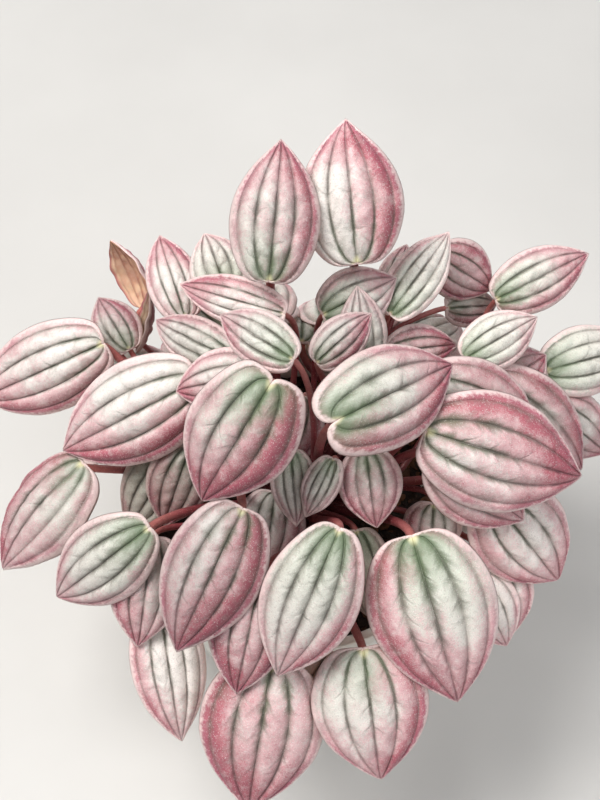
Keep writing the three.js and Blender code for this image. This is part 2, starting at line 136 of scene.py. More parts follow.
# Blades: veins are shares of the half-width, arch, cup and the like are shares of length or width, and the
# curves are powers
BLADE_THICKNESS = 1
SLIDE_STEP = 0.8
MOST_SLIDES = 60
LOBE_DEPTH = 0.06
LOBE_PLACE = 0.09
NOTCH = 0.3
NOTCH_CURVE = 1.5
BASE_FULLNESS = 0.62
TIP_SHARPNESS = 0.85
TIP_WAIST = 0.4
WAIST_CURVE = 9
TIP_HOOK = 0.02
HOOK_CURVE = 12
ARCH = 0.09
CUP = 0.13
CUP_CURVE = 1.7
TIP_DROP = 0.04
RIB_HEIGHT = 0.052
RIB_CURVE = 0.65
EDGE_RIB = 0.45
RIM_CURVE = 8
END_SHARE = 0.02
GROOVE_DEPTH = 0.28
EDGE_ROLL = 0.03
EDGE_WAVE = 0.012
EDGE_WAVES = [5, 9]
PUCKER = 0.2
PUCKER_LENGTHS = [1.1, 0.75]
SWELL = 0.006
SWELL_WAVES = 3.1
RELIEFS = [1, 0.75, 0.5, 0.25, 0]
BROAD_LEAF = 25
BIG_LEAF = 34
VEINS = [0, 0.42, 0.8, 1]
VEIN_COLUMNS = [8, 7, 5]
BLADE_ROWS = 46
BASE_CROWDING = 0.35
VEIN_BREADTH = 0.8
BAND_BASE = 2.2
BAND_TIP = 0.7
SIDE_SLANT = 0.8
SIDE_SPREAD = 0.5
SEED_SPREAD = 500

# How far light goes under the surface, in metres for red, green and blue
LEAF_SCATTER = (0.002, 0.001, 0.001)
STALK_SCATTER = (0.002, 0.0008, 0.0006)
POT_SCATTER = (0.002, 0.002, 0.0018)

# Lights: places and sizes in metres, power in watts
LIGHTS = dict(
    key=dict(place=(-0.38, 0.02, 1.0), size=0.5, power=11.5, colour=(1, 0.985, 0.96)),
    fill=dict(place=(0.45, -0.5, 0.9), size=0.9, power=5.5, colour=(0.97, 0.985, 1)),
    back=dict(place=(0.1, 0.8, 0.5), size=0.6, power=1.5, colour=(1, 1, 1)),
)
LIGHT_AIM = Vector((0, 0, 0.12))
WORLD_COLOUR = (0.8, 0.82, 0.85, 1)
WORLD_STRENGTH = 0.18
FLOOR_REACH = 3

# How light a blade is, in five steps: partly its own lightness, partly painted light and shade
SHADED = 0.5
DIM = 0.7
MIDDLE = 0.85
LIGHT = 1.0
PALE = 1.15


def seen(joint, tip, width, **rest):
    """A leaf of the photograph."""
    return dict(joint=joint, tip=tip, width=width, **rest)


# The photographed leaves, the ones that lie lowest first. Their looks are judged in broad steps: the tone is
# one of the five above, or else LIGHT, and is partly the blade's own lightness and partly painted light and
# shade;
# pink goes up by 0.3, and green, or else 0, by 0.4. veins is how broad the dark bands are, and side says
# which half of the blade is the redder one, from -1 to 1, partly its own colour and partly painted shade on
# one half
LEAVES = [
    seen((491, 560, 112), (513, 636, 92), 23, tone=PALE, pink=0.3, veins=0.4),
    seen((472, 575, 106), (507, 646, 88), 22, tone=PALE, pink=0.3, veins=0.4),
    seen((159, 600, 104), (180, 741, 72), 25, tone=PALE, pink=0.3, veins=0.4),
    seen((330, 650, 106), (292, 706, 88), 24, tone=DIM, pink=0.6),
    seen((152, 537, 118), (139, 644, 92), 24, pink=0.6, veins=0.4),
    seen((356, 530, 125), (370, 618, 105), 20, tone=SHADED, pink=0, green=0.8),
    seen((276, 492, 126), (262, 575, 108), 24, tone=DIM, pink=0.6),
    seen((178, 452, 130), (128, 530, 108), 24, tone=SHADED, pink=0, green=0.8),
    seen((190, 448, 138), (163, 527, 116), 22, tone=SHADED, pink=0.6, veins=1),
    seen((84, 463, 130), (-1, 569, 104), 32, roll=36, tone=MIDDLE, pink=0.6, green=0.4),
    seen((150, 527, 136), (57, 598, 112), 27, full=0.72, tone=MIDDLE, pink=0.3, green=0.8, veins=1),
    seen((272, 662, 118), (247, 812, 84), 40, pink=0.9, side=0.4),
    seen((363, 648, 122), (380, 781, 94), 37, pink=0.6, green=0.4, veins=0.4, side=-0.4),
    seen((262, 570, 134), (236, 693, 108), 27, tone=MIDDLE, pink=0.9, veins=0.4),
    seen((434, 503, 126), (430, 560, 108), 20, tone=MIDDLE, pink=0.6),
    seen((243, 508, 154), (175, 652, 126), 31, tone=DIM, pink=0.9, side=-0.8),
    seen((340, 528, 154), (277, 677, 124), 30, full=0.74,
         tone=MIDDLE, pink=0.3, green=0.8, veins=1, side=-0.4),
    seen((412, 535, 152), (460, 705, 116), 40, lobes=0.05, pink=0.6, green=0.8, veins=1),
    seen((492, 498, 138), (559, 583, 108), 33, tone=PALE, pink=0.6, veins=0.4),
    seen((435, 455, 148), (523, 520, 126), 27, pink=0.6, veins=0.4),
    seen((366, 450, 148), (376, 529, 132), 21, pink=0.6, green=0.4, veins=1),
    seen((291, 450, 146), (297, 527, 134), 15, wave=0.07, tone=DIM, pink=0.3, green=0.8, veins=1),
    seen((334, 458, 152), (305, 518, 138), 12, wave=0.07, tone=DIM, pink=0.3, green=0.8),
    seen((547, 405, 128), (608, 454, 108), 24, tone=MIDDLE, pink=0.6, veins=0.4),
    seen((505, 380, 140), (547, 355, 146), 18, tone=MIDDLE, pink=0.9, veins=0.4),
    seen((545, 371, 138), (638, 346, 132), 25, pink=0, green=0.8, veins=0.4),
    seen((480, 385, 148), (584, 472, 118), 34, tone=MIDDLE, pink=0.6, veins=1),
    seen((446, 308, 140), (498, 305, 128), 15, tone=DIM, pink=0.6, green=0.4, side=0.8),
    seen((437, 255, 148), (491, 290, 133), 22, tone=MIDDLE, pink=0.9, veins=0.4),
    seen((495, 300, 145), (590, 252, 152), 22, pink=0.6, green=0.8, side=0.4),
    seen((464, 359, 154), (538, 316, 160), 19, pink=0, green=0.8, veins=0.4),
    seen((388, 352, 150), (458, 344, 146), 17, tone=MIDDLE, pink=0.9),
    seen((425, 385, 160), (540, 440, 138), 32, tone=MIDDLE, pink=0.6, veins=0.4),
    seen((425, 431, 168), (584, 480, 150), 37, pink=0.9, side=-0.4),
    seen((390, 302, 150), (407, 243, 156), 14, tone=MIDDLE, pink=0.3),
    seen((389, 315, 162), (451, 231, 172), 18, wave=0.06, tone=PALE, pink=0, green=0.8),
    seen((322, 315, 164), (397, 278, 168), 21, tone=MIDDLE, pink=0.3, green=0.8, side=-0.4),
    seen((366, 366, 158), (358, 285, 176), 16, tone=DIM, pink=0, green=0.4, veins=1),
    seen((357, 264, 185), (343, 118, 215), 33, pink=0.6, veins=0.4, side=0.8),
    seen((269, 282, 188), (283, 138, 214), 28, tone=MIDDLE, pink=0.6, green=0.4, side=0.4),
    seen((146, 308, 118), (112, 238, 146), 21, roll=118, tone=PALE, pink=0.6),
    seen((137, 348, 122), (151, 286, 146), 16, roll=100, tone=SHADED, pink=0.9),
    seen((130, 350, 124), (98, 297, 132), 18, tone=DIM, pink=0.6, green=0.4),
    seen((186, 318, 150), (158, 234, 160), 19, pink=0.6, veins=0.4),
    seen((228, 292, 160), (205, 232, 168), 20, pink=0, green=0.8),
    seen((236, 362, 162), (153, 320, 154), 17, tone=MIDDLE, pink=0.3, green=0.4, side=0.4),
    seen((285, 314, 174), (177, 284, 168), 16, pink=0.6, veins=0.4, side=0.4),
    seen((104, 343, 136), (-24, 401, 112), 32, pink=0.6, veins=0.4, side=-0.4),
    seen((198, 380, 148), (64, 450, 122), 34, pink=0.6, veins=0.4, side=-0.8),
    seen((262, 374, 166), (175, 390, 154), 21, pink=0.6),
    seen((304, 396, 152), (270, 472, 132), 22, tone=DIM, pink=0.9),
    seen((272, 382, 188), (199, 502, 158), 34, lobes=0.12,
         tone=MIDDLE, pink=0.9, green=0.8, veins=1, side=-0.8),
    seen((294, 360, 186), (219, 313, 184), 17, tone=MIDDLE, pink=0.3, green=0.8, side=-0.4),
    seen((336, 421, 176), (453, 363, 174), 31, lobes=0.17,
         tone=MIDDLE, pink=0.6, green=0.8, veins=1, side=0.4),
    seen((316, 363, 176), (372, 312, 184), 15, tone=DIM, pink=0.6, green=0.4, side=0.8),
]

# The leaves of the two shoots at the back: (bearing, distance out, height) of the joint, how far the blade
# points below the level, its length and its width
SHOOTS = [
    [
        dict(at=(163, 63, 112), fall=34, length=34, width=26, pink=0.6, green=0.1),
        dict(at=(143, 67, 116), fall=38, length=42, width=30, pink=0.45, green=0.4),
        dict(at=(122, 62, 111), fall=42, length=45, width=32, pink=0.65, green=0.2),
        dict(at=(101, 63, 117), fall=38, length=44, width=31, pink=0.4, green=0.6),
        dict(at=(140, 40, 132), fall=24, length=30, width=22, pink=0.55, green=0.2),
        dict(at=(122, 50, 138), fall=30, length=38, width=27, pink=0.35, green=0.6),
        dict(at=(104, 42, 148), fall=24, length=38, width=27, pink=0.6, green=0.3),
    ],
    [
        dict(at=(16, 66, 114), fall=34, length=36, width=27, pink=0.5, green=0.4),
        dict(at=(36, 68, 116), fall=32, length=44, width=31, pink=0.65, green=0.1),
        dict(at=(57, 62, 114), fall=38, length=46, width=32, pink=0.4, green=0.5),
        dict(at=(79, 63, 116), fall=40, length=45, width=31, pink=0.55, green=0.3),
        dict(at=(46, 54, 134), fall=28, length=38, width=27, pink=0.3, green=0.6),
        dict(at=(68, 50, 140), fall=30, length=41, width=29, pink=0.6, green=0.2),
        dict(at=(88, 42, 132), fall=34, length=36, width=26, pink=0.45, green=0.4),
    ],
]


def unit(vector):
    return vector / np.linalg.norm(vector)


def outline(leaf, s):
    """The blade's edge at s, from the joint at 0 to the point at 1, as a share of the widest half-width."""
    full = leaf.get("full", BASE_FULLNESS)
    notch = NOTCH * leaf.get("lobes", LOBE_DEPTH)
    widest = full / (full + TIP_SHARPNESS)
    edge = (s / widest) ** full * ((1 - s) / (1 - widest)) ** TIP_SHARPNESS
    return edge * (1 - np.exp(-((s / notch) ** NOTCH_CURVE)))


def lobe(s, depth):
    return depth * (s / LOBE_PLACE) * np.exp(1 - s / LOBE_PLACE)


def seen_at(spot):
    """The point that the photograph shows at pixel (x, y), at the given height above the table."""
    x, y, height = spot
    right = RIGHT * (x - PHOTO_SIZE[0] / 2) / PHOTO_FOCAL
    up = UPWARD * (PHOTO_SIZE[1] / 2 - y) / PHOTO_FOCAL
    ray = FORWARD + right + up
    return CAMERA + ray * (height - CAMERA[2]) / ray[2]


def turned_about(vector, axis, angle):
    """A vector that is square to the axis, turned about it."""
    return vector * math.cos(angle) + np.cross(axis, vector) * math.sin(angle)


def frame_between(joint, tip, toward, roll):
    """A blade's frame: its joint, its midrib's direction, the way its face looks and the way across it."""
    length = np.linalg.norm(tip - joint)
    along = (tip - joint) / length
    face = unit(toward - along * toward.dot(along))
    face = turned_about(face, along, math.radians(roll))
    return dict(joint=joint, along=along, face=face, side=np.cross(along, face), length=length)


def leaf_frame(leaf):
    if "tip" in leaf:
        joint = seen_at(leaf["joint"])
        return frame_between(joint, seen_at(leaf["tip"]), CAMERA - joint, leaf.get("roll", 0))
    bearing, distance, height = leaf["at"]
    turn = math.radians(bearing)
    fall = math.radians(leaf["fall"])
    out = np.array([math.cos(turn), math.sin(turn), 0])
    joint = out * distance + [0, 0, height]
    along = out * math.cos(fall) - [0, 0, math.sin(fall)]
    return frame_between(joint, joint + along * leaf["length"], np.array([0, 0, 1]), 0)


def blade_points(leaf, place, across, s, lift=0, shift=0):
    """Points of the blade's middle surface, lifted off it: across runs from -1 to 1, s from joint to tip."""
    width = leaf["width"]
    length = place["length"]
    edge = outline(leaf, s)
    a = np.abs(across)
    y = s - a * lobe(s, leaf.get("lobes", LOBE_DEPTH))
    rise = 4 * ARCH * length * y * (1 - y)
    drop = CUP * width * edge**2 * a**CUP_CURVE
    ripple = leaf.get("wave", 0) * width * np.sin(4 * math.pi * s + across) * a**3
    tip_drop = TIP_DROP * length * s**4
    height = rise - drop + ripple - tip_drop + lift
    sideways = 0.5 * width * across * edge * (1 - TIP_WAIST * s**WAIST_CURVE) + shift
    return (
        place["joint"]
        + sideways[..., None] * place["side"]
        + (length * y)[..., None] * place["along"]
        + height[..., None] * place["face"]
    )


def crest(a):
    """The face between its sunken veins: 0 on a vein and at the edge, 1 on a crest."""
    height = np.zeros_like(a)
    for first, last in zip(VEINS, VEINS[1:]):
        t = np.clip((a - first) / (last - first), 0, 1)
        height += (4 * t * (1 - t)) ** RIB_CURVE * (1 if last < 1 else EDGE_RIB)
    return height


def mesh_tree(node):
    """A search tree of a frame node's corners, in mm."""
    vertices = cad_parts[node].data.vertices
    tree = kdtree.KDTree(len(vertices))
    for index, vertex in enumerate(vertices):
        tree.insert(vertex.co / MM, index)
    tree.balance()
    return tree


def far_off(tree, points):
    """How far the points are from the nearest corners, added up."""
    return sum(tree.find(Vector(point))[2] for point in points)


def lay_down(leaf, tree):
    """The blade's frame, at the joint where the frame's own blade lies."""
    place = leaf_frame(leaf)
    toward = unit(CAMERA - place["joint"])
    direction = toward if "tip" in leaf else -toward
    lift = place["face"] * BLADE_THICKNESS / 2
    tip = blade_points(leaf, place, np.array(0.0), np.array(1.0))
    slides = range(MOST_SLIDES + 1)
    misses = [far_off(tree, [tip + direction * SLIDE_STEP * k + lift]) for k in slides]
    place["joint"] = place["joint"] + direction * SLIDE_STEP * int(np.argmin(misses))
    return place


def spaced(count):
    """Shares from 0 to 1 that lie closer together at both ends."""
    return (1 - np.cos(math.pi * np.arange(count + 1) / count)) / 2


def blade_columns():
    half = [0.0]
    for first, last, count in zip(VEINS, VEINS[1:], VEIN_COLUMNS):
        half += list(first + (last - first) * spaced(count)[1:])
    return np.array([-a for a in half[:0:-1]] + half)


COLUMNS = blade_columns()
ROWS = BASE_CROWDING * np.linspace(0, 1, BLADE_ROWS + 1) ** 2 + (1 - BASE_CROWDING) * spaced(BLADE_ROWS)


def blade_faces():
    """The corners of a blade's faces: its upper face first, then its underside, which share the edge."""
    last = len(COLUMNS) - 1
    inner = BLADE_ROWS - 1
    upper_count = inner * (last + 1) + 2

    def upper(row, column):
        if row == 0:
            return 0
        if row == BLADE_ROWS:
            return 1
        return 2 + (row - 1) * (last + 1) + column

    def under(row, column):
        if row in (0, BLADE_ROWS) or column in (0, last):
            return upper(row, column)
        return upper_count + (row - 1) * (last - 1) + column - 1

    faces = []
    for at, turn in ((upper, 1), (under, -1)):
        for row in range(BLADE_ROWS):
            for column in range(last):
                places = [(row, column), (row, column + 1), (row + 1, column + 1), (row + 1, column)]
                corners = [at(*place) for place in places]
                faces.append(list(dict.fromkeys(corners))[::turn])
    return faces


BLADE_FACES = blade_faces()


def both_faces(upper, under):
    """One value for each point of a blade, from grids of rows and columns for its two faces."""
    inner = slice(1, -1)
    middle = len(COLUMNS) // 2
    ends = [upper[:1, middle], upper[-1:, middle]]
    shape = (-1,) + upper.shape[2:]
    return np.concatenate(ends + [upper[inner].reshape(shape), under[inner, inner].reshape(shape)])


def new_object(name, data):
    made = bpy.data.objects.new(name, data)
    bpy.context.scene.collection.objects.link(made)
    return made


def make_object(name, points, faces, materials):
    """A smooth mesh from points in mm, with its materials; it rides with the plant."""
    mesh = bpy.data.meshes.new(name)
    mesh.from_pydata((np.asarray(points) * MM).tolist(), [], faces)
    mesh.polygons.foreach_set("use_smooth", [True] * len(mesh.polygons))
    for material in materials:
        mesh.materials.append(material)
    piece = new_object(name, mesh)
    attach(piece, "root")
    return piece


def add_values(piece, name, values):
    """A vector for each point of the mesh, which its material reads by name."""
    attribute = piece.data.attributes.new(name, "FLOAT_VECTOR", "POINT")
    attribute.data.foreach_set("vector", np.asarray(values, dtype=float).ravel())


def piece_tree(piece):
    """A search tree of a piece's faces, in metres."""
    points = [vertex.co for vertex in piece.data.vertices]
    faces = [tuple(face.vertices) for face in piece.data.polygons]
    return bvhtree.BVHTree.FromPolygons(points, faces)


def fine_relief(leaf, length, across, s, phases):
    """The relief that the frame leaves out: puckers, grooves, swells, and the edge's roll and waves."""
    a = np.abs(across)
    ribs = crest(a)
    edge = outline(leaf, s)
    width = leaf["width"]
    slanted = s * length - SIDE_SLANT * a * (0.5 * width * edge)
    puckers = np.sin(slanted / PUCKER_LENGTHS[0] + phases[0])
    puckers += np.sin(slanted / PUCKER_LENGTHS[1] + 1.5 * across + phases[1])
    grooves = GROOVE_DEPTH * (RIB_HEIGHT * width * edge) * (1 - ribs)
    roll = EDGE_ROLL * width * edge * np.clip((a - VEINS[2]) / (1 - VEINS[2]), 0, 1) ** 2
    waves = np.sin(EDGE_WAVES[0] * math.pi * s + phases[2])
    waves += np.sin(EDGE_WAVES[1] * math.pi * s + phases[3] + across)
    swells = np.sin(SWELL_WAVES * math.pi * s + 2.5 * across + phases[4]) * ribs
    fine = PUCKER * puckers * ribs * edge - grooves - roll
    return fine + (EDGE_WAVE * width * waves * a**3 * edge**0.5 + SWELL * width * swells)


def make_blade(name, leaf, place, node, materials, obstacles):
    """A blade, with as much of its fine relief as keeps it clear of the obstacles."""
    draw = np.random.default_rng(sum(map(ord, name)) + int(leaf["width"] * 100 + place["length"] * 10))
    across, s = np.meshgrid(COLUMNS, ROWS)
    a = np.abs(across)
    width = leaf["width"]
    length = place["length"]
    edge = outline(leaf, s)
    half = 0.5 * width * edge
    ribs = crest(a)
    ridge = RIB_HEIGHT * width * edge
    phases = draw.uniform(0, 2 * math.pi, 6)
    fine = fine_relief(leaf, length, across, s, phases)
    hook = TIP_HOOK * length * math.sin(phases[5]) * s**HOOK_CURVE
    ends = np.clip(s * (1 - s) / END_SHARE, 0, 1) ** 0.5
    thick = 0.5 * BLADE_THICKNESS * np.sqrt(1 - a**RIM_CURVE) * ends
    for relief in RELIEFS:
        shape = ridge * ribs + relief * fine
        upper = blade_points(leaf, place, across, s, shape + thick, relief * hook)
        under = blade_points(leaf, place, across, s, shape - thick, relief * hook)
        points = both_faces(upper, under)
        tree = bvhtree.BVHTree.FromPolygons((points * MM).tolist(), BLADE_FACES)
        if not any(tree.overlap(obstacle) for obstacle in obstacles.values()):
            break
    obstacles[name] = tree
    piece = make_object(name, points, BLADE_FACES, materials)
    count = len(BLADE_FACES) // 2
    piece.data.polygons.foreach_set("material_index", [0] * count + [1] * count)
    seed = draw.uniform(0, SEED_SPREAD)
    side = leaf.get("side", draw.uniform(-SIDE_SPREAD, SIDE_SPREAD))
    size = min(1.0, width / BIG_LEAF) * np.ones_like(s)
    looks = [leaf["pink"], leaf.get("green", 0), leaf.get("tone", LIGHT)]
    grids = dict(
        vein_place=np.stack([across, s, half], axis=-1),
        leaf_place=np.stack([across * half, s * length, np.full_like(s, seed)], axis=-1),
        leaf_look=np.broadcast_to(looks, upper.shape),
        leaf_form=np.stack([np.full_like(s, side), size, ribs], axis=-1),
        leaf_veins=np.broadcast_to([leaf.get("veins", VEIN_BREADTH), 0, 0], upper.shape),
    )
    for title, grid in grids.items():
        add_values(piece, title, both_faces(grid, grid))
    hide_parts(node)
    return piece


def stalk_seat(leaf, place, gap):
    """Where a stalk meets the underside of its blade, and which way the blade faces there."""
    base = blade_points(leaf, place, np.array(0.0), np.array(0.0))
    ahead = blade_points(leaf, place, np.array(0.0), np.array(SEAT_ROW)) - base
    face = unit(np.cross(place["side"], ahead))
    return base + ahead * SEAT_PLACE - face * gap, face


def stalk_curves(seat, face, along, crown):
    """The ways a stalk may bend between its crown and its blade, as the four points of a cubic curve."""
    height = crown["bottom"] + STALK_ROOT * (crown["top"] - crown["bottom"])
    root = np.array([crown["x"], crown["y"], height])
    bearing = math.atan2(seat[1] - root[1], seat[0] - root[0])
    span = np.linalg.norm(seat - root)
    for reach in STALK_REACHES:
        for swing in STALK_SWINGS:
            turn = bearing + math.radians(swing)
            out = np.array([math.cos(turn), math.sin(turn), 0])
            start = root + out * crown["radius"] / 2
            for climb in STALK_CLIMBS:
                rising = unit(out + [0, 0, climb])
                for lean in STALK_LEANS:
                    arrive = unit(face * (1 - lean) + along * lean)
                    rise = start + rising * STALK_START * span
                    yield np.array([start, rise, seat - arrive * reach * span, seat])


def on_curve(curve, t):
    """The point and the direction of a cubic curve at t."""
    p0, p1, p2, p3 = curve
    point = (1 - t) ** 3 * p0 + 3 * t * (1 - t) ** 2 * p1 + 3 * t**2 * (1 - t) * p2 + t**3 * p3
    slope = (1 - t) ** 2 * (p1 - p0) + 2 * t * (1 - t) * (p2 - p1) + t**2 * (p3 - p2)
    return point, unit(slope)


def tube_rings(curve, radius, steps, sides):
    """Rings of points round a curve, one for each step, narrower towards the blade."""
    rings = []
    normal = np.array(STALK_NORMAL)
    angles = 2 * math.pi * np.arange(sides) / sides
    for step in range(steps + 1):
        t = step / steps
        centre, tangent = on_curve(curve, t)
        normal = unit(normal - tangent * normal.dot(tangent))
        binormal = np.cross(tangent, normal)
        size = radius * (1 + STALK_FOOT_SPREAD * (1 - t))
        rings.append(centre + size * (np.cos(angles)[:, None] * normal + np.sin(angles)[:, None] * binormal))
    return np.array(rings)


def find_stalk(leaf, place, crown, tree):
    """The bend that the frame's own stalk of this leaf takes, and its radius."""
    radius = STALK_RADIUS if leaf["width"] >= BROAD_LEAF else YOUNG_STALK_RADIUS
    gap = BLADE_THICKNESS / 2 + SEAT_GAP if "tip" in leaf else 0
    seat, face = stalk_seat(leaf, place, gap)

    def miss(curve):
        rings = tube_rings(curve, radius, FRAME_STALK_STEPS, FRAME_STALK_SIDES)
        return far_off(tree, rings[COMPARED_RINGS, :2].reshape(-1, 3))

    curve = min(stalk_curves(seat, face, place["along"], crown), key=miss)
    curve = curve.copy()
    curve[3] += face * (gap - STALK_SINK)
    return curve, radius


def closed_tube(rings):
    """Points and faces of a tube closed at both ends, from its rings."""
    steps = len(rings) - 1
    sides = rings.shape[1]
    points = rings.reshape(-1, 3)
    faces = [list(range(sides))[::-1], [steps * sides + side for side in range(sides)]]
    for start in range(0, steps * sides, sides):
        for side in range(sides):
            following = (side + 1) % sides
            faces.append([start + side, start + following, start + sides + following, start + sides + side])
    return points, faces


def rounded(profile, radius, steps=5):
    """A profile of (radius, height) points with its inner corners rounded."""
    corners = [np.array(point, dtype=float) for point in profile]
    smooth = [corners[0]]
    for before, corner, after in zip(corners, corners[1:], corners[2:]):
        shorter = min(np.linalg.norm(before - corner), np.linalg.norm(after - corner))
        reach = min(radius, shorter / ROUNDING_LIMIT)
        start = corner + unit(before - corner) * reach
        end = corner + unit(after - corner) * reach
        for step in range(steps + 1):
            t = step / steps
            smooth.append((1 - t) ** 2 * start + 2 * t * (1 - t) * corner + t**2 * end)
    return np.array(smooth + [corners[-1]])


def turned_mesh(profile, sides, x=0, y=0, shift=None):
    """Points and faces of a shape turned about the z axis. Its profile starts and ends on the axis."""
    points = [(x, y, profile[0][1])]
    angles = 2 * math.pi * np.arange(sides) / sides
    for radius, height in profile[1:-1]:
        for angle in angles:
            spot = np.array([x + radius * math.cos(angle), y + radius * math.sin(angle), height])
            points.append(spot + shift(spot) if shift else spot)
    points.append((x, y, profile[-1][1]))
    rings = len(profile) - 2
    faces = []
    for side in range(sides):
        following = (side + 1) % sides
        faces.append([0, 1 + following, 1 + side])
        for ring in range(rings - 1):
            start = 1 + ring * sides
            faces.append([start + side, start + following, start + sides + following, start + sides + side])
        start = 1 + (rings - 1) * sides
        faces.append([start + side, start + following, len(points) - 1])
    return np.array([np.array(point, dtype=float) for point in points]), faces


def pot_radius(height):
    slope = (POT_TOP_RADIUS - RIM_BAND_STEP - POT_FOOT_RADIUS) / (POT_HEIGHT - RIM_BAND_HEIGHT)
    return POT_FOOT_RADIUS + slope * height


def cut_drain_holes(pot):
    cutters = bpy.data.meshes.new("drain_holes")
    holes = bmesh.new()
    for hole in range(DRAIN_HOLES):
        angle = 2 * math.pi * (hole + 0.5) / DRAIN_HOLES
        spot = Vector((math.cos(angle), math.sin(angle), 0)) * DRAIN_RING_RADIUS * MM
        size = dict(segments=DRAIN_SIDES, radius1=DRAIN_RADIUS * MM, radius2=DRAIN_RADIUS * MM)
        made = bmesh.ops.create_cone(holes, cap_ends=True, depth=4 * POT_FLOOR * MM, **size)
        bmesh.ops.translate(holes, verts=made["verts"], vec=spot)
    holes.to_mesh(cutters)
    holes.free()
    cutter = new_object("drain_holes", cutters)
    cut = pot.modifiers.new("drain", "BOOLEAN")
    cut.operation = "DIFFERENCE"
    cut.solver = "EXACT"
    cut.object = cutter
    graph = bpy.context.evaluated_depsgraph_get()
    drained = bpy.data.meshes.new_from_object(pot.evaluated_get(graph))
    pot.modifiers.clear()
    pot.data = drained
    bpy.data.objects.remove(cutter)


def make_pot(material):
    band = POT_HEIGHT - RIM_BAND_HEIGHT
    inner = POT_TOP_RADIUS - POT_WALL
    profile = [
        (0, FOOT_RAISE),
        (POT_FOOT_RADIUS - FOOT_RING_WIDTH - 1, FOOT_RAISE),
        (POT_FOOT_RADIUS - FOOT_RING_WIDTH, 0),
        (pot_radius(0), 0),
        (pot_radius(band), band),
        (POT_TOP_RADIUS, band + RIM_BAND_STEP),
        (POT_TOP_RADIUS, POT_HEIGHT - 2 * RIM_LIP),
        (POT_TOP_RADIUS + RIM_LIP, POT_HEIGHT - 1.6 * RIM_LIP),
        (POT_TOP_RADIUS + RIM_LIP, POT_HEIGHT),
        (inner, POT_HEIGHT),
        (inner, band + RIM_BAND_STEP),
        (pot_radius(band) - POT_WALL, band),
        (pot_radius(POT_FLOOR) - POT_WALL, POT_FLOOR),
        (0, POT_FLOOR),
    ]
    points, faces = turned_mesh(rounded(profile, POT_ROUNDING), POT_SIDES)
    pot = make_object("nursery_pot", points, faces, [material])
    cut_drain_holes(pot)
    pot.data.set_sharp_from_angle(angle=SHARP_ANGLE)
    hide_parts("pot")
    return pot


def soil_height(radius):
    edge = pot_radius(POT_HEIGHT - RIM_BAND_HEIGHT) - POT_WALL - GAP
    return SOIL_EDGE_HEIGHT + SOIL_SWELL * (1 - (radius / edge) ** 2)


def lumpy(spot, waves):
    """The sum of noises at a spot, each given as (height, waves per mm)."""
    return sum(height * noise.noise(Vector(spot) * pitch) for height, pitch in waves)


def pick(draw, shares):
    return draw.choice(list(shares), p=list(shares.values()))


def crumb(draw, ball, reach):
    """A grain on top of the soil: its points, its kind and its shade."""
    radius = reach * math.sqrt(draw.uniform(0, 1))
    angle = draw.uniform(0, 2 * math.pi)
    size = draw.uniform(0.5, 1.0) * pick(draw, CRUMB_SIZES)
    kind = pick(draw, CRUMB_KINDS)
    stretch = draw.uniform(0.5, 1.3, 3) * (BARK_STRETCH if kind == BARK else 1)
    turn = draw.uniform(0, math.pi)
    cos = math.cos(turn)
    sin = math.sin(turn)
    shape = ball * size * stretch
    shape = shape * (1 + CRUMB_ROUGHNESS * draw.standard_normal(len(shape))[:, None])
    shape = shape @ np.array([[cos, sin, 0], [-sin, cos, 0], [0, 0, 1]])
    height = soil_height(radius) + CRUMB_RISE * size
    spot = np.array([radius * math.cos(angle), radius * math.sin(angle), height])
    return shape * [1, 1, CRUMB_FLATNESS] + spot, kind, draw.uniform(0, 1)


def make_soil(material):
    """The soil's body with a lumpy top, and crumbs, bark and white grains that lie on it, in one mesh."""
    band = POT_HEIGHT - RIM_BAND_HEIGHT
    bottom = POT_FLOOR + GAP
    wall = pot_radius(band) - POT_WALL - GAP
    foot = pot_radius(bottom) - POT_WALL - GAP
    radii = wall * (1 - np.arange(SOIL_RINGS) / SOIL_RINGS)
    profile = [(0, bottom), (foot, bottom), (wall, soil_height(wall) - 1)]
    profile += [(radius, soil_height(radius)) for radius in radii[1:]] + [(0, soil_height(0))]

    def lumps(spot):
        if spot[2] < SOIL_EDGE_HEIGHT - 1:
            return np.zeros(3)
        return np.array([0, 0, lumpy(spot, SOIL_LUMPS)])

    points, faces = turned_mesh(profile, SOIL_SIDES, shift=lumps)
    points = list(points)
    kinds = [(EARTH, 0, 0)] * len(points)
    draw = np.random.default_rng(CRUMB_SEED)
    ball = bmesh.new()
    bmesh.ops.create_icosphere(ball, subdivisions=2, radius=1)
    ball_points = np.array([vertex.co[:] for vertex in ball.verts])
    ball_faces = [[vertex.index for vertex in face.verts] for face in ball.faces]
    ball.free()
    for _ in range(CRUMBS):
        grain, kind, shade = crumb(draw, ball_points, wall - CRUMB_MARGIN)
        start = len(points)
        points += list(grain)
        kinds += [(kind, shade, 0)] * len(grain)
        faces += [[start + index for index in face] for face in ball_faces]
    soil = make_object("potting_soil", points, faces, [material])
    add_values(soil, "grain_kind", kinds)
    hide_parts("soil")
    return soil


def crown_mesh(crown):
    """A knobbly crown, as points and faces."""
    x, y, radius, bottom, top = (crown[key] for key in ("x", "y", "radius", "bottom", "top"))
    rise = top - bottom
    sides = [(radius * out, bottom + rise * up) for out, up in CROWN_PROFILE]
    profile = [(0, bottom)] + sides + [(0, top)]
    even = []
    smooth = rounded(profile, CROWN_ROUNDING, 6)
    for first, last in zip(smooth, smooth[1:]):
        parts = max(1, int(np.linalg.norm(last - first) / CROWN_STEP))
        even += [first + (last - first) * part / parts for part in range(parts)]
    even.append(smooth[-1])

    def knobs(spot):
        out = np.array([spot[0] - x, spot[1] - y, 0])
        amount = KNOB_HEIGHT * radius * lumpy(spot, KNOBS) - CROWN_INSET * radius
        return out / max(np.linalg.norm(out), 1) * amount

    return turned_mesh(even, CROWN_SIDES, x, y, knobs)


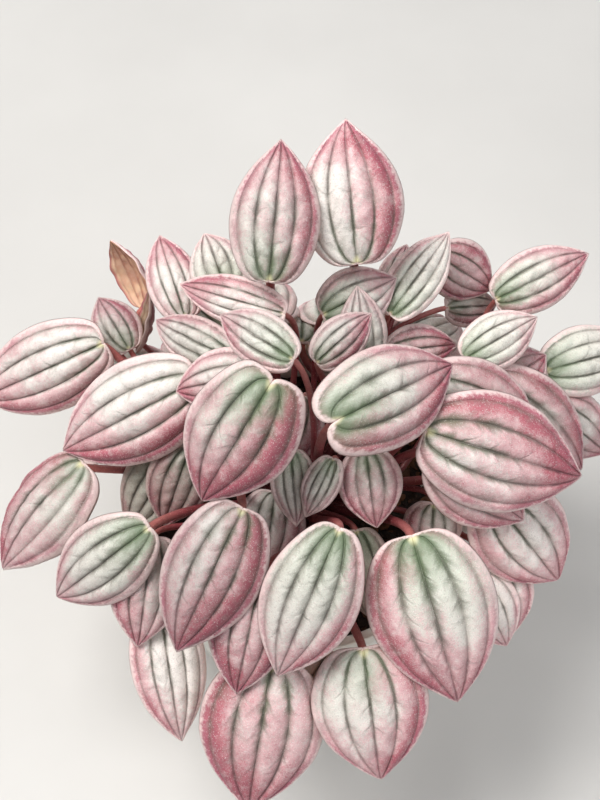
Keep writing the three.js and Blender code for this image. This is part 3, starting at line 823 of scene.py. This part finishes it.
def make_stalks(name, laid, crown, tree, node, material):
    """The crown and all the stalks that grow from it, in one mesh."""
    points, faces = crown_mesh(crown)
    # The crown counts as the stalks' foot, so it takes their painted shade
    places = [np.tile([0.0, 0.0, -1.0], (len(points), 1))]
    meshes = [(points, faces)]
    draw = np.random.default_rng(len(laid))
    for leaf, place in laid:
        curve, radius = find_stalk(leaf, place, crown, tree)
        rings = tube_rings(curve, radius, STALK_STEPS, STALK_SIDES)
        meshes.append(closed_tube(rings))
        t = np.repeat(np.linspace(0, 1, STALK_STEPS + 1), STALK_SIDES)
        length = np.linalg.norm(np.diff(rings.mean(axis=1), axis=0), axis=1).sum()
        places.append(np.stack([t, t * length, np.full_like(t, draw.uniform(0, 1))], axis=-1))
    start = 0
    all_faces = []
    for corners, mesh_faces in meshes:
        all_faces += [[start + index for index in face] for face in mesh_faces]
        start += len(corners)
    piece = make_object(name, np.concatenate([corners for corners, _ in meshes]), all_faces, [material])
    add_values(piece, "stalk_place", np.concatenate(places))
    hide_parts(node)
    return piece


def rgb(code):
    """A linear colour from a hex code."""
    parts = [int(code[i : i + 2], 16) / 255 for i in (0, 2, 4)]
    return tuple(c / 12.92 if c <= 0.04045 else ((c + 0.055) / 1.055) ** 2.4 for c in parts) + (1,)


class Look:
    """Makes the nodes of one material. A value is a number, a hex code of a colour or a node's output."""

    def __init__(self, name):
        self.material = bpy.data.materials.new(name)
        self.material.use_nodes = True
        self.nodes = self.material.node_tree.nodes
        self.links = self.material.node_tree.links
        self.shader = self.nodes["Principled BSDF"]

    def put(self, socket, value):
        if isinstance(value, bpy.types.NodeSocket):
            self.links.new(value, socket)
        else:
            socket.default_value = rgb(value) if isinstance(value, str) else value

    def set(self, **values):
        for name, value in values.items():
            self.put(self.shader.inputs[name.replace("_", " ").title()], value)

    def node(self, kind, inputs, output=0, **settings):
        """An output of a new node, whose inputs are given by name or by number."""
        made = self.nodes.new("ShaderNode" + kind)
        for name, value in settings.items():
            setattr(made, name, value)
        for key, value in inputs.items():
            self.put(made.inputs[key], value)
        return made.outputs[output]

    def math(self, operation, *values):
        return self.node("Math", dict(enumerate(values)), operation=operation)

    def plus(self, first, second):
        return self.math("ADD", first, second)

    def minus(self, first, second):
        return self.math("SUBTRACT", first, second)

    def times(self, first, second):
        return self.math("MULTIPLY", first, second)

    def linear(self, value, slope, start):
        return self.math("MULTIPLY_ADD", value, slope, start)

    def smooth(self, value, low=0.3, high=0.7, start=0, end=1):
        """Rises smoothly from start to end as the value goes from low to high."""
        inputs = dict(enumerate((value, low, high, start, end)))
        return self.node("MapRange", inputs, interpolation_type="SMOOTHSTEP")

    def most(self, values):
        """The greatest of the values at each spot."""
        first, *others = values
        for value in others:
            first = self.math("MAXIMUM", first, value)
        return first

    def mix(self, share, first, second, blend="MIX"):
        inputs = {0: share, 6: first, 7: second}
        return self.node("Mix", inputs, 2, data_type="RGBA", blend_type=blend)

    def layers(self, colour, *coats):
        """The colour under coats that are given as (share, colour)."""
        for share, coat in coats:
            colour = self.mix(share, colour, coat)
        return colour

    def bright(self, colour, value):
        return self.node("HueSaturation", dict(Color=colour, Value=value))

    def vector(self, *values):
        return self.node("CombineXYZ", dict(enumerate(values)))

    def parts(self, vector):
        made = self.nodes.new("ShaderNodeSeparateXYZ")
        self.put(made.inputs[0], vector)
        return tuple(made.outputs)

    def values(self, name):
        """The three values of a named vector of the mesh, and the vector itself."""
        vector = self.node("Attribute", {}, "Vector", attribute_name=name)
        return (*self.parts(vector), vector)

    def object_place(self):
        return self.node("TexCoord", {}, "Object")

    def noise(self, place, scale, detail=2, roughness=0.5):
        return self.node("TexNoise", dict(Vector=place, Scale=scale, Detail=detail, Roughness=roughness))

    def drift(self, place, scale, detail=2, roughness=0.5):
        """Noise that goes to both sides of 0."""
        return self.minus(self.noise(place, scale, detail, roughness), 0.5)

    def cells(self, place, scale):
        return self.node("TexVoronoi", dict(Vector=place, Scale=scale), "Distance", feature="F1")

    def bump(self, height, distance):
        """Bump from a height of 0 to 1 that stands for the given distance in mm."""
        self.set(normal=self.node("Bump", dict(Strength=1, Distance=distance * MM, Height=height)))


def vein_marks(look, across, along, half, leaf_y, seed, size, broad, wander):
    """Marks of the five main veins, from 0 to 1: soft feathered bands, fine lines in their middle, threads.

    Streaks that run off the veins at a slant feather the bands, and the threads are veinlets with that slant.
    """
    a = look.math("ABSOLUTE", across)
    fade = look.math("POWER", look.minus(1, along), 0.8)
    width = look.times(look.times(look.linear(fade, BAND_BASE - BAND_TIP, BAND_TIP), size), broad)
    marks = []
    for number, (vein, share) in enumerate(zip(VEINS[:3], (1, 0.85, 0.4))):
        away = look.times(look.minus(a, vein), half)
        away = look.math("ABSOLUTE", look.plus(away, look.times(wander, 0.5)))
        slant = look.minus(leaf_y, look.times(away, SIDE_SLANT))
        layer = look.linear(look.math("SIGN", across), 3.7 + number, seed)
        spot = look.vector(look.times(slant, 0.36), look.times(away, 0.12), layer)
        reach = look.times(width, look.linear(look.drift(spot, 1), 3.4, 0.7 + 0.5 * share))
        reach = look.math("MAXIMUM", reach, 0.35)
        band = look.smooth(look.math("DIVIDE", away, reach), 0, 1.25, share, 0)
        line = look.smooth(away, 0.12, 0.45, share, 0)
        spot = look.vector(look.times(look.linear(wander, 5, slant), 0.09), look.times(away, 0.05), layer)
        fold = look.math("ABSOLUTE", look.drift(spot, 1, 1))
        thread = look.smooth(fold, 0, 0.05, 1, 0)
        thread = look.times(thread, look.smooth(away, 1, 5, share, 0))
        worn = look.noise(look.vector(look.times(leaf_y, 0.11), layer, 0), 1, 1)
        worn = look.smooth(worn, 0.36, 0.54, 0.35, 1)
        marks.append((look.times(band, worn), look.times(line, worn), thread))
    return [look.most(same) for same in zip(*marks)]


def blade_redness(look, pink, side, across, along, noises):
    """How pink a blade is: most on the outer ribs and at the tip, and on the redder side, which is partly the
    blade's own colour and partly painted shade on one half.
    """
    redness = look.plus(pink, -0.55)
    causes = [
        look.smooth(look.math("ABSOLUTE", across), 0.4, 0.95, 0, 0.55),
        look.smooth(along, 0.4, 1, 0, 0.7),
        # The redder half: partly the blade's own colour, partly painted shade on the half away from the light
        look.times(look.times(side, across), 0.9),
    ]
    for cause in causes + [look.times(noise, share) for noise, share in noises]:
        redness = look.plus(redness, cause)
    return redness


def joint_coats(look, leaf_x, leaf_y, size, green):
    """Green round a blade's joint, and the pale spot over the stalk's seat."""
    joint = look.linear(look.math("POWER", leaf_y, 2), 0.5, look.math("POWER", leaf_x, 2))
    near = look.math("DIVIDE", look.math("SQRT", joint), size)
    fresh = look.times(look.smooth(near, 2, 14, 1, 0), look.linear(green, 0.7, 0.1))
    return [(fresh, "667b58"), (look.smooth(near, 0.7, 2.6, 0.9, 0), "e4e0b4")]


def margin_coats(look, across, along, half, pink, coarse, ragged):
    """A blade's rosy margin and its pale rim: partly the edge's own pale colour, partly a painted highlight
    where the edge catches the light.
    """
    margin = look.times(look.minus(1, look.math("ABSOLUTE", across)), half)
    rosy = look.times(look.smooth(margin, 1, 4, 1, 0), look.smooth(along, 0.1, 0.7, 0.35, 1))
    rosy = look.times(look.times(rosy, look.linear(pink, 0.7, 0.1)), look.linear(coarse, 2, 0.7))
    # Pale rim: partly the edge's own colour, partly a painted highlight along the edge
    pale_rim_and_highlight = look.linear(ragged, 1.6, look.linear(margin, -0.48, 1.25))
    return [(rosy, "b5667a"), (look.smooth(pale_rim_and_highlight, 0.3, 1, 0, 0.85), "f0d8d5")]


def blade_top_look():
    look = Look("blade_top")
    across, along, half, _ = look.values("vein_place")
    leaf_x, leaf_y, seed, place = look.values("leaf_place")
    pink, green, tone, _ = look.values("leaf_look")
    side, size, crest_share, _ = look.values("leaf_form")
    broad = look.values("leaf_veins")[0]
    grains = look.noise(place, 2.1, 2, 0.75)
    fleck_and_glint_cells = look.cells(place, 2.2)
    ragged = look.drift(place, 0.8, 3, 0.65)
    patches = look.drift(place, 0.26, 3, 0.6)
    coarse = look.drift(place, 0.09, 1)
    wander = look.drift(place, 0.16, 2)
    noises = [(coarse, 0.9), (patches, 0.45), (ragged, 0.6), (look.minus(grains, 0.5), 0.9)]
    redness = blade_redness(look, pink, side, across, along, noises)

    # Silver ribs, greener towards the joint, under the pink, and greyer down in the grooves: partly the
    # grooves' own duller colour, partly painted shade between the ribs
    greenness = look.times(green, look.smooth(along, 0, 0.7, 1, 0.15))
    groove_shade = look.math("POWER", look.minus(1, crest_share), 2)
    colour = look.layers(
        look.mix(greenness, "e3dcd6", "c3cdb9"),
        (look.smooth(redness, -0.1, 0.45), "d6aeb0"),
        (look.smooth(redness, 0.35, 1), "b3626e"),
        (look.smooth(redness, 0.8, 1.4, 0, 0.6), "9a4257"),
        (look.smooth(patches, 0, 0.25, 0, 0.3), "a89c95"),
        (look.smooth(patches, -0.22, -0.02, 0.25, 0), "efe6e1"),
        # Painted shade in the grooves, partly their own duller colour
        (look.times(groove_shade, 0.3), "94877f"),
    )

    # Dark veins, from green at the joint to red at the tip
    bands, lines, threads = vein_marks(look, across, along, half, leaf_y, seed, size, broad, wander)
    dark = look.mix(look.smooth(along, 0.1, 0.5), "56664a", "6c6c60")
    dark = look.mix(look.smooth(along, 0.45, 0.95), dark, "85606a")
    colour = look.layers(
        colour,
        (look.times(threads, look.smooth(along, 0.5, 0.95, 0.3, 0.05)), dark),
        (look.times(bands, look.smooth(along, 0.3, 0.9, 0.9, 0.35)), dark),
        (look.times(lines, look.smooth(along, 0.4, 0.9, 0.45, 0.1)), "4b443e"),
    )

    # White flecks all over, partly the blade's own silver grain and partly painted glints, fewer in the
    # bands, and dark pores
    fleck_and_glint = look.times(look.smooth(fleck_and_glint_cells, 0.1, 0.45, 1, 0), look.smooth(grains, 0.4, 0.6))
    fleck_and_glint = look.times(fleck_and_glint, look.linear(bands, -0.4, 0.65))
    colour = look.layers(
        colour,
        (fleck_and_glint, "fbf5f1"),
        (look.smooth(grains, 0.3, 0.47, 0.32, 0), "7d6265"),
        *joint_coats(look, leaf_x, leaf_y, size, green),
        *margin_coats(look, across, along, half, pink, coarse, ragged),
    )
    # The tone: partly the blade's own lightness, partly painted light and shade
    colour = look.bright(colour, tone)
    # Painted light: blades in shade get a warm yellow cast, standing in for light shining through and
    # bouncing between the leaves
    colour = look.mix(look.smooth(tone, 0.2, 0.7, 1, 0), colour, "fffae6", "MULTIPLY")

    height = look.linear(grains, 0.5, look.times(fleck_and_glint, 0.35))
    height = look.minus(height, look.times(threads, 0.4))
    height = look.minus(height, look.times(lines, 0.3))
    look.set(base_color=colour, roughness=look.smooth(grains, 0.3, 0.7, 0.52, 0.38))
    look.set(subsurface_weight=0.05, subsurface_radius=LEAF_SCATTER, coat_weight=0.08, coat_roughness=0.3)
    look.bump(height, 0.4)
    return look.material


def blade_under_look():
    look = Look("blade_under")
    across, along, half, _ = look.values("vein_place")
    _, leaf_y, seed, place = look.values("leaf_place")
    size = look.values("leaf_form")[1]
    tone = look.values("leaf_look")[2]
    a = look.math("ABSOLUTE", across)
    grain = look.noise(place, 2, 3, 0.6)
    wander = look.drift(place, 0.16, 2)
    coarse = look.noise(place, 0.15, 2)
    bands, _, threads = vein_marks(look, across, along, half, leaf_y, seed, size, 0.4, wander)
    colour = look.layers(
        look.mix(look.smooth(coarse), "e0c09f", "cfa189"),
        (look.smooth(grain, 0.4, 0.7, 0, 0.3), "dcc6b8"),
        (look.times(threads, 0.3), "a8605c"),
        (look.times(bands, 0.6), "9a5c52"),
    )
    # The tone: partly the blade's own lightness, partly painted light and shade
    colour = look.bright(colour, tone)
    colour = look.mix(look.smooth(a, 0.9, 0.99, 0, 0.7), colour, "b5596a")
    look.set(base_color=colour, roughness=look.smooth(grain, 0.3, 0.7, 0.55, 0.42))
    look.set(subsurface_weight=0.06, subsurface_radius=LEAF_SCATTER)
    look.bump(look.plus(look.times(grain, 0.4), look.times(bands, 0.6)), 0.3)
    return look.material


def stalk_look():
    look = Look("stalk")
    along, _, seed, _ = look.values("stalk_place")
    place = look.object_place()
    streaks = look.noise(place, 420, 3, 0.6)
    blotches = look.noise(place, 90, 2)
    specks = look.smooth(look.noise(place, 1900, 1), 0.62, 0.72)
    colour = look.layers(
        look.mix(look.smooth(blotches), "6e2a2f", "934248"),
        (look.smooth(along, 0.6, 1, 0, 0.6), "c98279"),
        (look.smooth(seed, 0.4, 1, 0, 0.3), "ab6560"),
        # Painted shade: near black down at the crown and the stalks' feet, under the leaves
        (look.smooth(along, 0, 0.6, 0.85, 0), "3a1719"),
        (look.times(specks, 0.35), "d8a79c"),
        (look.smooth(streaks, 0.4, 0.7, 0, 0.25), "52202a"),
    )
    look.set(base_color=colour, roughness=look.smooth(streaks, 0.3, 0.7, 0.38, 0.5))
    look.set(subsurface_weight=0.05, subsurface_radius=STALK_SCATTER)
    look.bump(streaks, 0.15)
    return look.material


def pot_look():
    look = Look("pot_plastic")
    place = look.object_place()
    level = look.parts(place)[2]
    cloud = look.noise(place, 25, 3)
    fine = look.noise(place, 900, 2)
    dust = look.times(look.smooth(look.noise(place, 140, 4, 0.7), 0.5, 0.75), 0.3)
    dust = look.times(dust, look.smooth(level, 0, 0.02, 1, 0.15))
    plain = look.mix(look.smooth(cloud), "e6e4dd", "ecebe5")
    colour = look.mix(dust, plain, "8b7c6a")
    look.set(base_color=colour, roughness=look.smooth(cloud, 0.3, 0.7, 0.36, 0.5))
    look.set(subsurface_weight=0.1, subsurface_radius=POT_SCATTER)
    look.bump(fine, 0.05)
    return look.material


def soil_look():
    look = Look("soil_mix")
    kind, shade, _, _ = look.values("grain_kind")
    place = look.object_place()
    fine = look.noise(place, 1200, 4, 0.7)
    coarse = look.noise(place, 260, 3)
    earth = look.mix(look.smooth(coarse), "1f1814", "3b2c22")
    colour = look.layers(
        earth,
        (look.smooth(fine, 0.55, 0.75, 0, 0.5), "5b4636"),
        (look.smooth(kind, 0.35, 0.45), look.mix(shade, "4a3022", "7a5538")),
        (look.smooth(kind, 0.8, 0.9), look.mix(look.smooth(fine), "cfcac0", "f0eee8")),
    )
    look.set(base_color=colour, roughness=look.smooth(fine, 0.3, 0.7, 0.95, 0.75))
    look.bump(fine, 0.5)
    return look.material


def floor_look():
    look = Look("floor")
    place = look.object_place()
    colour = look.mix(look.smooth(look.noise(place, 6, 4)), "cfcdca", "d5d3d0")
    look.set(base_color=colour, roughness=look.smooth(look.noise(place, 60), 0.3, 0.7, 0.7, 0.8))
    return look.material


def make_floor():
    mesh = bpy.data.meshes.new("floor")
    corners = [(-1, -1), (1, -1), (1, 1), (-1, 1)]
    mesh.from_pydata([(x * FLOOR_REACH, y * FLOOR_REACH, 0) for x, y in corners], [], [(0, 1, 2, 3)])
    mesh.materials.append(floor_look())
    new_object("floor", mesh)


def make_camera():
    data = bpy.data.cameras.new("camera")
    data.sensor_width = 36
    data.lens = PHOTO_FOCAL / PHOTO_SIZE[1] * data.sensor_width
    data.clip_start = 0.01
    camera = new_object("camera", data)
    camera.location = Vector(CAMERA * MM)
    camera.rotation_euler = (math.pi / 2 - LOOK_DOWN, 0, 0)
    bpy.context.scene.camera = camera


def make_light(name, place, size, power, colour):
    data = bpy.data.lights.new(name, "AREA")
    data.size = size
    data.energy = power
    data.color = colour
    light = new_object(name, data)
    light.location = place
    light.rotation_euler = (LIGHT_AIM - Vector(place)).to_track_quat("-Z", "Y").to_euler()


def make_lights():
    for name, light in LIGHTS.items():
        make_light(name, **light)
    world = bpy.data.worlds.new("studio")
    world.use_nodes = True
    background = world.node_tree.nodes["Background"]
    background.inputs["Color"].default_value = WORLD_COLOUR
    background.inputs["Strength"].default_value = WORLD_STRENGTH
    bpy.context.scene.world = world
    bpy.context.scene.view_settings.view_transform = "Standard"


make_camera()
make_lights()
make_floor()
pot = make_pot(pot_look())
make_soil(soil_look())
blade_looks = [blade_top_look(), blade_under_look()]
stalk = stalk_look()

# What the blades stay clear of: the finished pot and blades, and the frame's own for those still to be made
leafy = [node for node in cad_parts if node.startswith(("leaf", "shoot"))]
obstacles = {node: piece_tree(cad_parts[node]) for node in leafy}
obstacles["pot"] = piece_tree(pot)

laid = []
for number, leaf in enumerate(LEAVES, 1):
    node = f"leaf_{number:02d}"
    place = lay_down(leaf, mesh_tree(node))
    obstacles.pop(node)
    make_blade(f"blade_{number:02d}", leaf, place, node, blade_looks, obstacles)
    laid.append((leaf, place))
make_stalks("crown_and_stalks", laid, CROWN, mesh_tree("stems"), "stems", stalk)

for number, (leaves, crown) in enumerate(zip(SHOOTS, SHOOT_CROWNS), 1):
    node = f"shoot_{number}"
    tree = mesh_tree(node)
    shoot = [(leaf, lay_down(leaf, tree)) for leaf in leaves]
    obstacles.pop(node)
    for order, (leaf, place) in enumerate(shoot, 1):
        make_blade(f"{node}_blade_{order}", leaf, place, node, blade_looks, obstacles)
    make_stalks(f"{node}_stalks", shoot, crown, tree, node, stalk)
